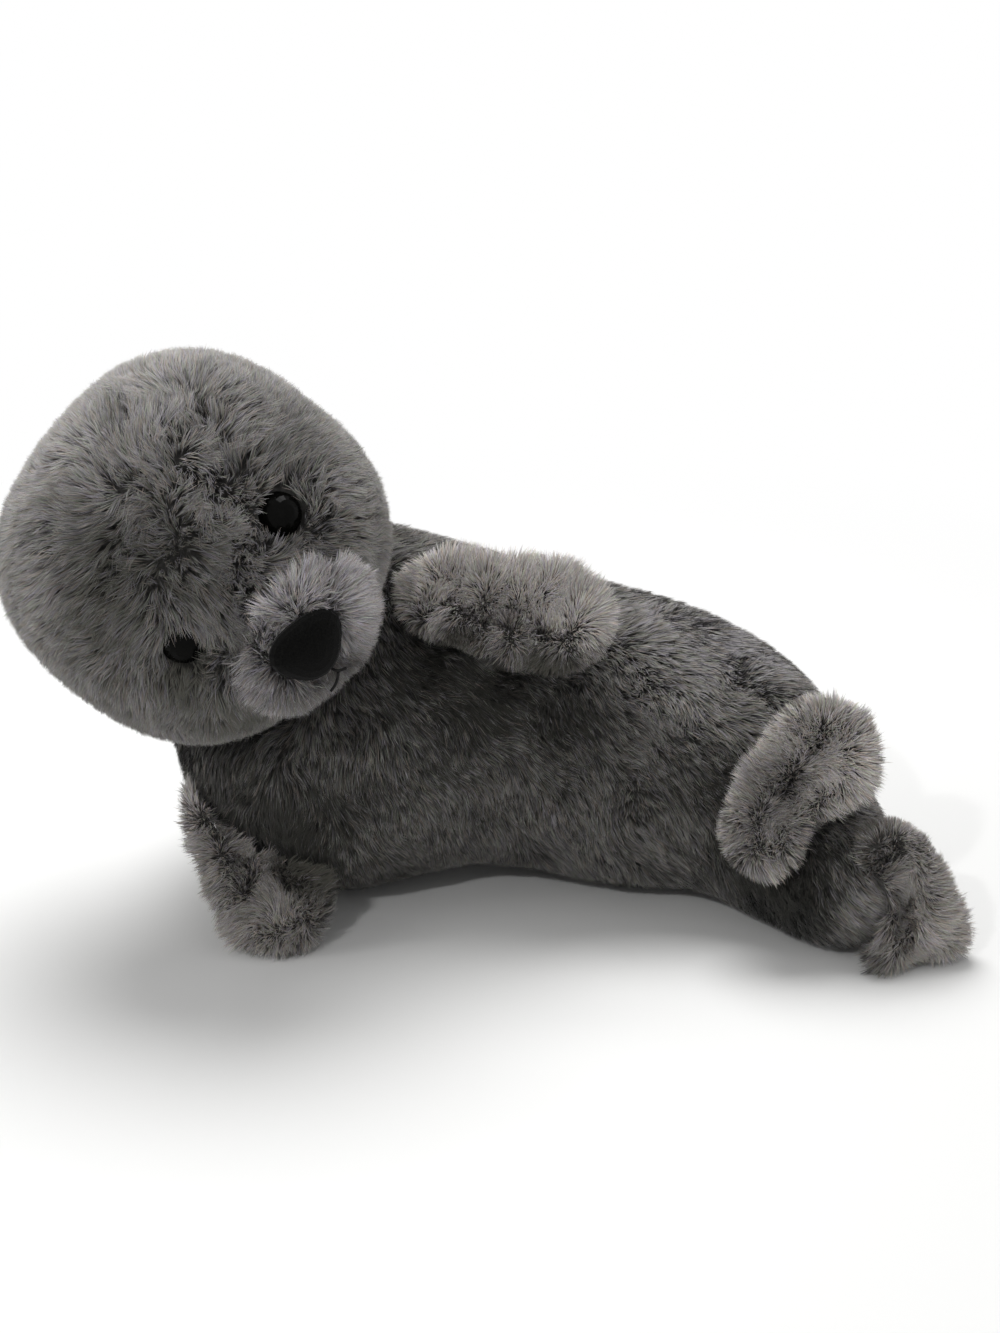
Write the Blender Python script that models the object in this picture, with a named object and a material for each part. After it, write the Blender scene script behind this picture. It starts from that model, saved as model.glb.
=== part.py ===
# Plush sea lion, about 27 cm long, lying on its right side with its head raised and turned to the viewer.
# Metres, +Z up, the floor at z = 0, the belly towards -Y and the tail towards +X.
# The origin is the middle of the whole toy's footprint, on the floor.

import math

import bmesh
import bpy
import numpy as np
from mathutils import Matrix, Vector

# Body: a stuffed tube that bends round the belly. The radii are taken at five places along it.
CHEST_RADIUS = 0.0560
WAIST_RADIUS = 0.0465
HIP_RADIUS = 0.0445
RUMP_RADIUS = 0.0380
TAIL_RADIUS = 0.0225
CHEST_TO_WAIST = 0.043
WAIST_TO_HIP = 0.039
HIP_TO_RUMP = 0.030
RUMP_TO_TAIL = 0.027
# How far each place lies towards the belly side of the waist, and how high the waist arches.
CHEST_FORWARD = 0.007
HIP_FORWARD = 0.008
RUMP_FORWARD = 0.024
TAIL_FORWARD = 0.057
WAIST_ARCH = 0.004

# The soft underside gives way by this much where it lies on the floor.
BODY_PRESS = 0.0018

# Head: a rounded box of a ball, joined to the chest at the neck.
HEAD_WIDTH = 0.1035
HEAD_HEIGHT = 0.1010
HEAD_DEPTH = 0.1050
HEAD_BOXINESS = 2.5
# The flat of the crown leans back behind the face by this much.
CROWN_LEAN = math.radians(31)
NECK_SINK = 0.0235
NECK_AIM = Vector((-0.462, -0.46, 0.688))
FACE_AIM = Vector((0.515, -0.850, -0.090))
CROWN_AIM = Vector((-0.610, -0.430, 0.665))

# Muzzle: a small round cushion sewn on the face.
MUZZLE_WIDTH = 0.049
MUZZLE_HEIGHT = 0.041
MUZZLE_DEPTH = 0.042
MUZZLE_BOXINESS = 2.2
MUZZLE_SINK = 0.0060
MUZZLE_DROP = 0.008

# Nose: a rounded triangle on a ribbed shank, locked inside the muzzle.
NOSE_WIDTH = 0.0215
NOSE_HEIGHT = 0.0185
NOSE_THICKNESS = 0.0090
NOSE_CORNERS = 0.085
NOSE_SINK = 0.0030
NOSE_RISE = 0.0035
NOSE_ASIDE = 0.0020
NOSE_ROLL = math.radians(-18)
NOSE_SHANK_LENGTH = 0.0130

# Eyes: glossy domes on ribbed shanks, locked inside the head.
EYE_DIAMETER = 0.0122
EYE_DOME_HEIGHT = 0.0056
EYE_FLANGE = 0.0012
EYE_SINK = 0.0010
EYE_SHANK_LENGTH = 0.0135
EYE_APART = math.radians(26)
EYE_ABOVE = math.radians(15)

# Shanks and lock washers, the same for the eyes and the nose.
SHANK_RADIUS = 0.0021
SHANK_TIP_RADIUS = 0.0013
RIB_HEIGHT = 0.00045
RIB_COUNT = 4
RIB_EDGE = 0.15
RIB_FOOT = 0.75
WASHER_RADIUS = 0.0062
WASHER_THICKNESS = 0.0012
WASHER_HUB_RADIUS = 0.0042
WASHER_HUB_HEIGHT = 0.0016
WASHER_HUB_TAPER = 0.0004
PLUSH_WALL = 0.0030

# Front flippers: cupped paddles with a crease along the sole.
FRONT_FLIPPER_LENGTH = 0.064
FRONT_FLIPPER_WIDTH = 0.034
FRONT_FLIPPER_THICKNESS = 0.0165

# Rear flippers: kidney-shaped paddles, drawn in on the side that faces the tail.
REAR_FLIPPER_LENGTH = 0.057
REAR_FLIPPER_WIDTH = 0.033
REAR_FLIPPER_THICKNESS = 0.0185
REAR_NOTCH = 0.006

CREASE_DEPTH = 0.0045
FLIPPER_CURL = 0.0035
# Shares of a flipper's width: its round ends, the flare towards the tip and the crease.
ROOT_ROUNDING = 0.45
TIP_ROUNDING = 0.55
FLIPPER_FLARE = 0.12
CREASE_SPREAD = 0.16
# Below 1 the edge of a flipper is full, like a cushion's.
EDGE_FULLNESS = 0.6
# Shares of a flipper's length: where the notch lies and how far it spreads.
NOTCH_PLACE = 0.38
NOTCH_SPREAD = 0.13

# Where each flipper is sewn on. The clock is 0 on the belly side and 90 degrees on top, a sink is how
# far the seam lies in the body, and a root is how far the flipper reaches back past its seat.
LEFT_FRONT_PAST_CHEST = 0.002
LEFT_FRONT_CLOCK = math.radians(53)
LEFT_FRONT_SINK = 0.0046
LEFT_FRONT_AIM = Vector((1.0, -0.08, -0.20))
LEFT_FRONT_SOLE = Vector((-0.05, -0.80, 0.60))
RIGHT_FRONT_BEFORE_CHEST = 0.038
RIGHT_FRONT_CLOCK = math.radians(-38)
RIGHT_FRONT_SINK = 0.0008
RIGHT_FRONT_ROOT = 0.0225
RIGHT_FRONT_AIM = Vector((0.42, -0.50, -0.62))
RIGHT_FRONT_SOLE = Vector((0.10, -0.85, 0.45))
LEFT_REAR_BEFORE_TAIL = 0.010
LEFT_REAR_CLOCK = math.radians(62)
LEFT_REAR_SINK = 0.0018
LEFT_REAR_AIM = Vector((0.59, 0.28, 0.76))
LEFT_REAR_SOLE = Vector((0.0, -0.94, 0.34))
RIGHT_REAR_SINK = 0.0007
RIGHT_REAR_ASIDE = 0.0047
RIGHT_REAR_AIM = Vector((0.25, 0.06, -0.97))
RIGHT_REAR_SOLE = Vector((0.30, -0.92, 0.20))

# Sewn pieces meet with this gap between them.
GAP = 0.0003
# A cutter reaches this far past the surface that it opens.
CUT_PAST = 0.010
# Edges sharper than this stay crisp.
SHARP_ANGLE = math.radians(40)

# Faces round and along the soft pieces.
BODY_SEGMENTS = 32
BODY_RINGS = 40
BALL_SEGMENTS = 32
BALL_RINGS = 24
SMALL_SEGMENTS = 24
SMALL_RINGS = 18
NOSE_SEGMENTS = 24
NOSE_RINGS = 10
TURNED_STEPS = 20
DOME_STEPS = 6


def clear_scene():
    for thing in list(bpy.data.objects):
        bpy.data.objects.remove(thing, do_unlink=True)


def make_material(name, colour, roughness, metallic=0.0):
    material = bpy.data.materials.new(name)
    material.use_nodes = True
    shader = material.node_tree.nodes["Principled BSDF"]
    shader.inputs["Base Color"].default_value = (*colour, 1.0)
    shader.inputs["Roughness"].default_value = roughness
    shader.inputs["Metallic"].default_value = metallic
    return material


def make_object(name, mesh_data, material=None):
    mesh = bpy.data.meshes.new(name)
    mesh_data.to_mesh(mesh)
    mesh_data.free()
    mesh.shade_smooth()
    mesh.set_sharp_from_angle(angle=SHARP_ANGLE)
    thing = bpy.data.objects.new(name, mesh)
    bpy.context.scene.collection.objects.link(thing)
    if material:
        mesh.materials.append(material)
    return thing


def make_cutter(name, mesh_data):
    cutter = make_object(name, mesh_data)
    cutter.hide_render = True
    cutter.display_type = "WIRE"
    return cutter


def boolean(thing, other, operation="DIFFERENCE"):
    modifier = thing.modifiers.new(other.name, "BOOLEAN")
    modifier.operation = operation
    modifier.solver = "EXACT"
    modifier.object = other


def face_out(mesh_data):
    bmesh.ops.recalc_face_normals(mesh_data, faces=mesh_data.faces)
    if mesh_data.calc_volume(signed=True) < 0:
        bmesh.ops.reverse_faces(mesh_data, faces=mesh_data.faces)


def grow(mesh_data, distance):
    mesh_data.normal_update()
    moves = [(vert, vert.normal * distance) for vert in mesh_data.verts]
    for vert, move in moves:
        vert.co += move


def smooth_through(knots, values, place):
    # The natural cubic spline through the values: even slopes and bends everywhere.
    count = len(knots)
    spans = np.diff(knots)
    system = np.eye(count)
    bends = np.zeros_like(values)
    for index in range(1, count - 1):
        before, after = spans[index - 1], spans[index]
        system[index, index - 1:index + 2] = before / 6, (before + after) / 3, after / 6
        rise = (values[index + 1] - values[index]) / after
        bends[index] = rise - (values[index] - values[index - 1]) / before
    bends = np.linalg.solve(system, bends)
    index = int(np.clip(np.searchsorted(knots, place) - 1, 0, count - 2))
    span = spans[index]
    right = (place - knots[index]) / span
    left = 1 - right
    return (
        left * values[index]
        + right * values[index + 1]
        + ((left**3 - left) * bends[index] + (right**3 - right) * bends[index + 1]) * span**2 / 6
    )


def axes(forward, up):
    # Columns: sideways, along, up, with up made square to forward.
    along = forward.normalized()
    side = along.cross(up).normalized()
    return Matrix((side, along, side.cross(along))).transposed()


def cap_factor(place, length, start_cap, end_cap):
    # A round end: the radius falls to nothing as a quarter circle.
    short = 1.0
    if place < start_cap:
        short = 1 - place / start_cap
        return math.sqrt(max(0.0, 1 - short * short))
    if length - place < end_cap:
        short = 1 - (length - place) / end_cap
        return math.sqrt(max(0.0, 1 - short * short))
    return short


# Body

CHEST_STATION = 1
TAIL_STATION = 5


def body_stations():
    chest = Vector((-CHEST_TO_WAIST, -CHEST_FORWARD, 0))
    waist = Vector((0, 0, 0))
    hip = Vector((WAIST_TO_HIP, -HIP_FORWARD, 0))
    rump = Vector((hip.x + HIP_TO_RUMP, -RUMP_FORWARD, 0))
    tail = Vector((rump.x + RUMP_TO_TAIL, -TAIL_FORWARD, 0))
    front = chest - (waist - chest).normalized() * CHEST_RADIUS
    back = tail + (tail - rump).normalized() * TAIL_RADIUS
    rows = [
        (front, CHEST_RADIUS, 0),
        (chest, CHEST_RADIUS, 0),
        (waist, WAIST_RADIUS, WAIST_ARCH),
        (hip, HIP_RADIUS, 0),
        (rump, RUMP_RADIUS, 0),
        (tail, TAIL_RADIUS, 0),
        (back, TAIL_RADIUS, 0),
    ]
    values = []
    for place, radius, lift in rows:
        values.append((place.x, place.y, radius - BODY_PRESS + lift, radius))
    values = np.array(values)
    steps = np.linalg.norm(np.diff(values[:, :2], axis=0), axis=1)
    return np.concatenate(([0.0], np.cumsum(steps))), values


def body_at(knots, values, place):
    here = smooth_through(knots, values, place)
    step = 0.0005
    ahead = smooth_through(knots, values, place + step)
    behind = smooth_through(knots, values, place - step)
    along = Vector(ahead[:3] - behind[:3]).normalized()
    return Vector(here[:3]), float(here[3]), along


def body_mesh():
    knots, values = body_stations()
    length = float(knots[-1])
    mesh_data = bmesh.new()
    bmesh.ops.create_uvsphere(mesh_data, u_segments=BODY_SEGMENTS, v_segments=BODY_RINGS, radius=1.0)
    for vert in mesh_data.verts:
        place = length * (1 - vert.co.z) / 2
        centre, radius, along = body_at(knots, values, place)
        frame = axes(along, Vector((0, 0, 1)))
        ring = Vector((vert.co.x, 0, vert.co.y))
        if ring.length > 1e-6:
            ring.normalize()
        radius *= cap_factor(place, length, CHEST_RADIUS, TAIL_RADIUS)
        vert.co = centre + frame @ ring * radius
    face_out(mesh_data)
    return mesh_data


def on_body(station, past, clock):
    # A point of the body's surface, this far past a station, and the way out of the body there.
    knots, values = body_stations()
    place = float(knots[station]) + past
    centre, radius, along = body_at(knots, values, place)
    radius *= cap_factor(place, float(knots[-1]), CHEST_RADIUS, TAIL_RADIUS)
    frame = axes(along, Vector((0, 0, 1)))
    outward = frame @ Vector((math.cos(clock), 0, math.sin(clock)))
    return centre + outward * radius, outward


# Head, muzzle and nose

def soft_ball(width, depth, height, boxiness, segments, rings):
    mesh_data = bmesh.new()
    bmesh.ops.create_uvsphere(mesh_data, u_segments=segments, v_segments=rings, radius=1.0)
    half = Vector((width / 2, depth / 2, height / 2))
    for vert in mesh_data.verts:
        reach = sum(abs(part) ** boxiness for part in vert.co) ** (1 / boxiness)
        vert.co = Vector([part / reach * size for part, size in zip(vert.co, half)])
    return mesh_data


def head_place():
    _, values = body_stations()
    chest = Vector(values[CHEST_STATION][:3])
    centre = chest + NECK_AIM.normalized() * (CHEST_RADIUS + HEAD_DEPTH / 2 - NECK_SINK)
    # The face looks along -Y of the head's own frame.
    back = -FACE_AIM.normalized()
    side = back.cross(CROWN_AIM).normalized()
    turn = Matrix((side, back, side.cross(back))).transposed()
    return Matrix.Translation(centre) @ turn.to_4x4()


def head_mesh():
    mesh_data = soft_ball(HEAD_WIDTH, HEAD_DEPTH, HEAD_HEIGHT, HEAD_BOXINESS, BALL_SEGMENTS, BALL_RINGS)
    mesh_data.transform(head_place() @ Matrix.Rotation(-CROWN_LEAN, 4, "X"))
    return mesh_data


def head_reach(ray):
    # How far the head's surface lies from its centre along a ray of the head's frame.
    leaned = Matrix.Rotation(CROWN_LEAN, 3, "X") @ ray.normalized()
    half = (HEAD_WIDTH / 2, HEAD_DEPTH / 2, HEAD_HEIGHT / 2)
    reach = sum(abs(part / size) ** HEAD_BOXINESS for part, size in zip(leaned, half))
    return reach ** (-1 / HEAD_BOXINESS)


def muzzle_place():
    return head_place() @ Matrix.Translation((0, MUZZLE_SINK - HEAD_DEPTH / 2, -MUZZLE_DROP))


def muzzle_mesh():
    mesh_data = soft_ball(
        MUZZLE_WIDTH, MUZZLE_DEPTH, MUZZLE_HEIGHT, MUZZLE_BOXINESS, SMALL_SEGMENTS, SMALL_RINGS
    )
    mesh_data.transform(muzzle_place())
    return mesh_data


def nose_place():
    out = MUZZLE_DEPTH / 2 - NOSE_SINK
    tip = muzzle_place() @ Matrix.Translation((-NOSE_ASIDE, -out, NOSE_RISE))
    # Local +Z looks out of the nose.
    outward = Matrix.Rotation(math.radians(90), 4, "X")
    return tip @ outward @ Matrix.Rotation(NOSE_ROLL, 4, "Z")


def nose_dome_mesh():
    mesh_data = bmesh.new()
    bmesh.ops.create_uvsphere(mesh_data, u_segments=NOSE_SEGMENTS, v_segments=NOSE_RINGS, radius=1.0)
    for vert in mesh_data.verts:
        around = math.atan2(vert.co.y, vert.co.x)
        corner = 1 + NOSE_CORNERS * math.sin(3 * around)
        vert.co.x *= NOSE_WIDTH / 2 * corner
        vert.co.y *= NOSE_HEIGHT / 2 * corner
        vert.co.z *= NOSE_THICKNESS / 2
    return mesh_data


# Turned pieces: shanks, washers and eyes, each about its own Z axis

def turned(profile, closed=False):
    mesh_data = bmesh.new()
    verts = [mesh_data.verts.new((radius, 0, height)) for radius, height in profile]
    edges = [mesh_data.edges.new(pair) for pair in zip(verts, verts[1:])]
    if closed:
        edges.append(mesh_data.edges.new((verts[-1], verts[0])))
    bmesh.ops.spin(
        mesh_data,
        geom=verts + edges,
        cent=(0, 0, 0),
        axis=(0, 0, 1),
        angle=math.tau,
        steps=TURNED_STEPS,
        use_merge=True,
    )
    bmesh.ops.remove_doubles(mesh_data, verts=mesh_data.verts, dist=1e-7)
    face_out(mesh_data)
    return mesh_data


def shank_profile(top, length):
    # Ribs that the washer snaps over, on the half of the shank towards its tip.
    points = [(SHANK_RADIUS, top)]
    pitch = length / 2 / RIB_COUNT
    for rib in range(RIB_COUNT):
        start = top - length / 2 - rib * pitch
        points.append((SHANK_RADIUS, start))
        points.append((SHANK_RADIUS + RIB_HEIGHT, start - pitch * RIB_EDGE))
        points.append((SHANK_RADIUS, start - pitch * RIB_FOOT))
    points.append((SHANK_TIP_RADIUS, top - length))
    points.append((0, top - length))
    return points


def eye_profile():
    # Zero height is the back of the flange, which lies on the plush.
    radius = EYE_DIAMETER / 2
    points = [(0, EYE_FLANGE + EYE_DOME_HEIGHT)]
    for step in range(1, DOME_STEPS + 1):
        angle = math.radians(90) * step / DOME_STEPS
        points.append((radius * math.sin(angle), EYE_FLANGE + EYE_DOME_HEIGHT * math.cos(angle)))
    points.append((radius, 0))
    return points + shank_profile(0, EYE_SHANK_LENGTH)


def washer_profile():
    # Zero height is the face that presses on the inside of the plush, and the hub stands away from it.
    hole = SHANK_RADIUS + RIB_HEIGHT + GAP
    return [
        (hole, 0),
        (WASHER_RADIUS, 0),
        (WASHER_RADIUS, -WASHER_THICKNESS),
        (WASHER_HUB_RADIUS, -WASHER_THICKNESS),
        (WASHER_HUB_RADIUS - WASHER_HUB_TAPER, -WASHER_THICKNESS - WASHER_HUB_HEIGHT),
        (hole, -WASHER_THICKNESS - WASHER_HUB_HEIGHT),
    ]


def lock_pocket_profile(length):
    # Room in the stuffing for a shank of this length and its washer, one wall of plush below the surface.
    hole = SHANK_RADIUS + RIB_HEIGHT + GAP
    washer = WASHER_RADIUS + GAP
    top = GAP - PLUSH_WALL
    bottom = -max(length, PLUSH_WALL + WASHER_THICKNESS + WASHER_HUB_HEIGHT) - GAP
    return [(hole, top), (washer, top), (washer, bottom), (0, bottom)]


def eye_pocket_mesh():
    socket = EYE_DIAMETER / 2 + GAP
    above = EYE_FLANGE + EYE_DOME_HEIGHT + CUT_PAST
    profile = [(0, above), (socket, above), (socket, -GAP), (SHANK_RADIUS + RIB_HEIGHT + GAP, -GAP)]
    return turned(profile + lock_pocket_profile(EYE_SHANK_LENGTH))


def eye_place(side):
    # Out along a ray from the head's centre, until the dome's top lies just below the tips of the plush.
    turn = side * EYE_APART
    ray = Vector((
        math.sin(turn) * math.cos(EYE_ABOVE),
        -math.cos(turn) * math.cos(EYE_ABOVE),
        math.sin(EYE_ABOVE),
    ))
    out = head_reach(ray) - EYE_SINK - EYE_DOME_HEIGHT - EYE_FLANGE
    turned_out = ray.to_track_quat("Z", "Y").to_matrix().to_4x4()
    return head_place() @ Matrix.Translation(ray * out) @ turned_out


# Flippers

def flipper_mesh(length, width, thickness, notch=0.0):
    # Root at the origin, tip along +X, the sole towards +Z and the notch on the -Y edge.
    mesh_data = bmesh.new()
    bmesh.ops.create_uvsphere(mesh_data, u_segments=SMALL_SEGMENTS, v_segments=SMALL_RINGS, radius=1.0)
    for vert in mesh_data.verts:
        place = length * (1 + vert.co.z) / 2
        towards_tip = place / length
        ring = Vector((vert.co.x, vert.co.y))
        if ring.length > 1e-6:
            ring.normalize()
        full = cap_factor(place, length, width * ROOT_ROUNDING, width * TIP_ROUNDING)
        flare = 1 - FLIPPER_FLARE * math.cos(math.pi * towards_tip)
        across = ring.x * width / 2 * full * flare
        through = ring.y * thickness / 2 * full**EDGE_FULLNESS
        middle = math.exp(-((across / (width * CREASE_SPREAD)) ** 2))
        if ring.y > 0:
            through -= CREASE_DEPTH * middle * ring.y * full * math.sin(math.pi * towards_tip)
        through += FLIPPER_CURL * (2 * across / width) ** 2
        if ring.x < 0:
            across -= ring.x * notch * math.exp(-(((towards_tip - NOTCH_PLACE) / NOTCH_SPREAD) ** 2))
        vert.co = Vector((place, across, through))
    face_out(mesh_data)
    return mesh_data


def flipper_place(seat, aim, sole, root):
    along = aim.normalized()
    across = sole.cross(along).normalized()
    turn = Matrix((along, across, along.cross(across))).transposed()
    return Matrix.Translation(seat - along * root) @ turn.to_4x4()


def front_flipper(place):
    mesh_data = flipper_mesh(FRONT_FLIPPER_LENGTH, FRONT_FLIPPER_WIDTH, FRONT_FLIPPER_THICKNESS)
    mesh_data.transform(place)
    return mesh_data


def rear_flipper(place):
    mesh_data = flipper_mesh(REAR_FLIPPER_LENGTH, REAR_FLIPPER_WIDTH, REAR_FLIPPER_THICKNESS, REAR_NOTCH)
    mesh_data.transform(place)
    return mesh_data


def left_front_place():
    surface, outward = on_body(CHEST_STATION, LEFT_FRONT_PAST_CHEST, LEFT_FRONT_CLOCK)
    seat = surface + outward * (FRONT_FLIPPER_THICKNESS / 2 - LEFT_FRONT_SINK)
    return flipper_place(seat, LEFT_FRONT_AIM, LEFT_FRONT_SOLE, 0)


def right_front_place():
    surface, outward = on_body(CHEST_STATION, -RIGHT_FRONT_BEFORE_CHEST, RIGHT_FRONT_CLOCK)
    seat = surface - outward * RIGHT_FRONT_SINK
    return flipper_place(seat, RIGHT_FRONT_AIM, RIGHT_FRONT_SOLE, RIGHT_FRONT_ROOT)


def left_rear_place():
    surface, outward = on_body(TAIL_STATION, -LEFT_REAR_BEFORE_TAIL, LEFT_REAR_CLOCK)
    seat = surface + outward * (REAR_FLIPPER_THICKNESS / 2 - LEFT_REAR_SINK)
    return flipper_place(seat, LEFT_REAR_AIM, LEFT_REAR_SOLE, REAR_FLIPPER_LENGTH / 2)


def right_rear_place():
    knots, values = body_stations()
    tail, _, along = body_at(knots, values, float(knots[TAIL_STATION]))
    beside = Vector((-along.y, along.x, 0))
    seat = tail + along * (TAIL_RADIUS - RIGHT_REAR_SINK) + beside * RIGHT_REAR_ASIDE
    return flipper_place(seat, RIGHT_REAR_AIM, RIGHT_REAR_SOLE, REAR_FLIPPER_LENGTH / 2)


def floor_mesh():
    mesh_data = bmesh.new()
    bmesh.ops.create_cube(mesh_data, size=1.0)
    mesh_data.transform(Matrix.Translation((0, 0, -0.5)))
    return mesh_data


def centre_on_floor(things):
    bpy.context.view_layer.update()
    graph = bpy.context.evaluated_depsgraph_get()
    corners = []
    for thing in things:
        for vert in thing.evaluated_get(graph).data.vertices:
            corners.append(thing.matrix_world @ vert.co)
    low = Vector([min(corner[axis] for corner in corners) for axis in range(3)])
    high = Vector([max(corner[axis] for corner in corners) for axis in range(3)])
    shift = Vector(((low.x + high.x) / 2, (low.y + high.y) / 2, low.z))
    for thing in bpy.data.objects:
        thing.location -= shift


def grown_cutter(name, mesh_data):
    grow(mesh_data, GAP)
    return make_cutter(name, mesh_data)


def add_washer(name, place, material):
    washer = turned(washer_profile(), closed=True)
    washer.transform(place @ Matrix.Translation((0, 0, -PLUSH_WALL)))
    return make_object(name, washer, material)


def add_eye(name, side, head, eye_plastic, washer_plastic):
    place = eye_place(side)
    pocket = eye_pocket_mesh()
    pocket.transform(place)
    boolean(head, make_cutter("eye_pocket_" + name, pocket))
    eye = turned(eye_profile())
    eye.transform(place)
    return [
        make_object("eye_" + name, eye, eye_plastic),
        add_washer("eye_washer_" + name, place, washer_plastic),
    ]


def add_nose(muzzle, head, nose_flock, washer_plastic):
    place = nose_place()
    back = place @ Matrix.Translation((0, 0, -NOSE_THICKNESS / 2))
    socket = nose_dome_mesh()
    grow(socket, GAP)
    socket.transform(place)
    boolean(muzzle, make_cutter("nose_socket", socket))

    # The pocket starts inside the socket, so that the two open into each other.
    inside = NOSE_THICKNESS / 4
    hole = SHANK_RADIUS + RIB_HEIGHT + GAP
    pocket = turned([(0, inside), (hole, inside)] + lock_pocket_profile(NOSE_SHANK_LENGTH))
    pocket.transform(back)
    pocket_cutter = make_cutter("nose_pocket", pocket)
    boolean(muzzle, pocket_cutter)
    boolean(head, pocket_cutter)

    dome = nose_dome_mesh()
    dome.transform(place)
    nose = make_object("nose", dome, nose_flock)
    middle = NOSE_THICKNESS / 2
    shank = turned([(0, middle)] + shank_profile(middle, NOSE_SHANK_LENGTH + middle))
    shank.transform(back)
    boolean(nose, make_cutter("nose_shank", shank), "UNION")
    return [nose, add_washer("nose_washer", back, washer_plastic)]


def add_flippers(flipper_plush, body_cutter, head_cutter, floor):
    left_front = make_object("left_front_flipper", front_flipper(left_front_place()), flipper_plush)
    right_front = make_object("right_front_flipper", front_flipper(right_front_place()), flipper_plush)
    left_rear = make_object("left_rear_flipper", rear_flipper(left_rear_place()), flipper_plush)
    right_rear = make_object("right_rear_flipper", rear_flipper(right_rear_place()), flipper_plush)
    flippers = [left_front, right_front, left_rear, right_rear]
    for flipper in flippers:
        boolean(flipper, body_cutter)
    for flipper in (left_front, right_front):
        boolean(flipper, head_cutter)
    for flipper in (right_front, right_rear):
        boolean(flipper, floor)
    return flippers


def build():
    clear_scene()
    head_plush = make_material("head_plush", (0.115, 0.110, 0.105), 0.95)
    body_plush = make_material("body_plush", (0.070, 0.068, 0.066), 0.95)
    muzzle_plush = make_material("muzzle_plush", (0.190, 0.180, 0.190), 0.95)
    flipper_plush = make_material("flipper_plush", (0.150, 0.140, 0.132), 0.95)
    nose_flock = make_material("nose_flock", (0.008, 0.008, 0.008), 0.85)
    eye_plastic = make_material("eye_plastic", (0.006, 0.006, 0.006), 0.08)
    washer_plastic = make_material("washer_plastic", (0.75, 0.75, 0.72), 0.45)

    # What is sewn to the head or the body is cut by it, a little larger than it is.
    floor = make_cutter("floor_cutter", floor_mesh())
    head_cutter = grown_cutter("head_cutter", head_mesh())
    body_cutter = grown_cutter("body_cutter", body_mesh())

    body = make_object("body", body_mesh(), body_plush)
    boolean(body, head_cutter)
    boolean(body, floor)
    head = make_object("head", head_mesh(), head_plush)
    muzzle = make_object("muzzle", muzzle_mesh(), muzzle_plush)
    boolean(muzzle, head_cutter)

    pieces = [body, head, muzzle]
    pieces += add_eye("left", 1, head, eye_plastic, washer_plastic)
    pieces += add_eye("right", -1, head, eye_plastic, washer_plastic)
    pieces += add_nose(muzzle, head, nose_flock, washer_plastic)
    pieces += add_flippers(flipper_plush, body_cutter, head_cutter, floor)
    centre_on_floor(pieces)


build()
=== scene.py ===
# The looks of a plush sea lion that lies on its right side: stuffed skins, the pile combed over them,
# glossy eyes, a flocked nose and a stitched mouth. Metres, +Z up, the belly towards -Y.
import math

import bmesh
import bpy
import numpy as np
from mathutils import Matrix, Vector
from mathutils.bvhtree import BVHTree
from mathutils.kdtree import KDTree


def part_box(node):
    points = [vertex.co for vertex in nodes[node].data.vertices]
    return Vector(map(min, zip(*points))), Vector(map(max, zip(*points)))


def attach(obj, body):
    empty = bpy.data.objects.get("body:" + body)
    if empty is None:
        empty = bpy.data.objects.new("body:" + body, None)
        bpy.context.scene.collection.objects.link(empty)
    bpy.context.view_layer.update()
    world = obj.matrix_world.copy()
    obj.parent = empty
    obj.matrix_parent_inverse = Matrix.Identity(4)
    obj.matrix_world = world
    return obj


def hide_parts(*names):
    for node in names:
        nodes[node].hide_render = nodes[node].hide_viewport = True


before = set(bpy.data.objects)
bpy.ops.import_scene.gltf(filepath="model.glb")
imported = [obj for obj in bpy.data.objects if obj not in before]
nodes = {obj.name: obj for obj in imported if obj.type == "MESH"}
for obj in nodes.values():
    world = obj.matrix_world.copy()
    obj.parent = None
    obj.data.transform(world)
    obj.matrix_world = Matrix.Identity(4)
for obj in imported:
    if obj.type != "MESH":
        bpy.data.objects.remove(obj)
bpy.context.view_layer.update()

scene = bpy.context.scene
mm = 0.001


# Colours and material nodes

def hexColour(code):
    # sRGB hex to the linear colour that a shader takes
    parts = [int(code[place:place + 2], 16) / 255 for place in (1, 3, 5)]
    linear = [part / 12.92 if part <= 0.04045 else ((part + 0.055) / 1.055) ** 2.4 for part in parts]
    return (*linear, 1.0)


def addNode(tree, kind, inputs=None, **settings):
    # inputs are values, or sockets to link from
    node = tree.nodes.new(kind)
    for name, value in settings.items():
        setattr(node, name, value)
    for name, value in (inputs or {}).items():
        if isinstance(value, bpy.types.NodeSocket):
            tree.links.new(value, node.inputs[name])
        else:
            node.inputs[name].default_value = value
    return node


def setRamp(node, stops):
    # stops are places and hex colours, in order
    ramp = node.color_ramp
    while len(ramp.elements) < len(stops):
        ramp.elements.new(0.5)
    for element, (place, code) in zip(ramp.elements, stops):
        element.position = place
        element.color = hexColour(code)
    return node


def startMaterial(name):
    material = bpy.data.materials.new(name)
    material.use_nodes = True
    tree = material.node_tree
    return material, tree, tree.nodes["Principled BSDF"]


# The camera, the floor and the light

cameraLook = {
    "target": (0.0029, 0.0304, 0.0630),
    "away": 0.800,
    "above": math.radians(20),
    "lens": 72,
    "sensor": 36,  # on the long side of the picture, which is upright
    "picture": (1000, 1333),  # pixels
}


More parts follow.
